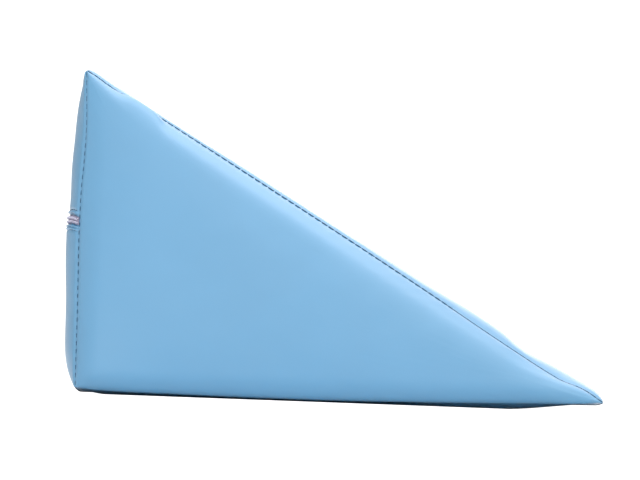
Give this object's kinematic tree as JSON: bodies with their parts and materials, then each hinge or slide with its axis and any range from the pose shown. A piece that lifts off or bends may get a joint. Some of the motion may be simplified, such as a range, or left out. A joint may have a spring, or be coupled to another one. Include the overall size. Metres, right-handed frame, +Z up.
{
  "type": "positioning wedge cushion",
  "caption": "Right-angled foam wedge cushion in a smooth coated cover, with sewn edges and a zip across the upright back.",
  "frame": {"origin": "centre of the bounding box at its base, on the floor", "axes": "+X from the upright back towards the thin tip, +Y across the width, +Z up"},
  "size_m": [0.3108, 0.613, 0.1836],
  "materials": {
    "cover": "smooth sky-blue coated cloth with a fine grain and a soft sheen",
    "zip_tape": "pale woven polyester tape",
    "zip_coil": "pale nylon coil"
  },
  "bodies": {
    "root": {"cushion": "cover", "zip_tape": "zip_tape", "zip_coil_upper": "zip_coil", "zip_coil_lower": "zip_coil"}
  },
  "joints": []
}
